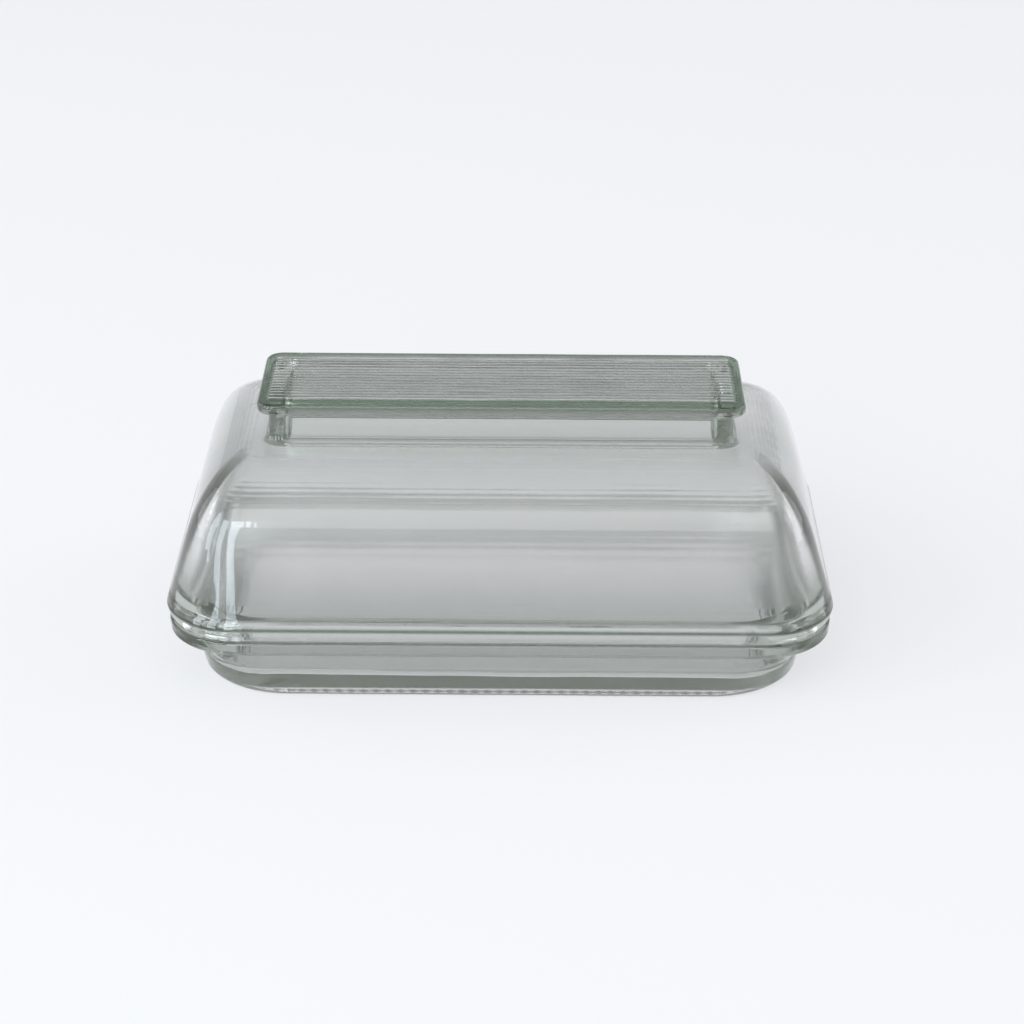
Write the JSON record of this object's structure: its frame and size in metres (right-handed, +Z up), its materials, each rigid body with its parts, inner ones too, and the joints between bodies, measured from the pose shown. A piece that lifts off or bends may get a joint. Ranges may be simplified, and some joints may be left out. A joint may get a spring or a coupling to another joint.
{
  "type": "butter dish",
  "caption": "Rectangular pressed-glass butter dish: a shallow tray with a flanged rim, and a domed lift-off lid with a reeded T-shaped grip along its roof.",
  "frame": {"origin": "on the table under the middle of the dish, at the centre of its standing ring", "axes": "+X along the length and the grip's reeds, +Y towards the back long side, +Z up"},
  "size_m": [0.17, 0.105, 0.07],
  "materials": {
    "clear_glass": "polished"
  },
  "bodies": {
    "dish": {"dish": "clear_glass"},
    "lid": {"lid": "clear_glass"}
  },
  "joints": [
    {"name": "lid_lift", "type": "slide", "parent": "dish", "child": "lid", "axis": [0, 0, 1], "range_m": [0, 0.1]}
  ]
}
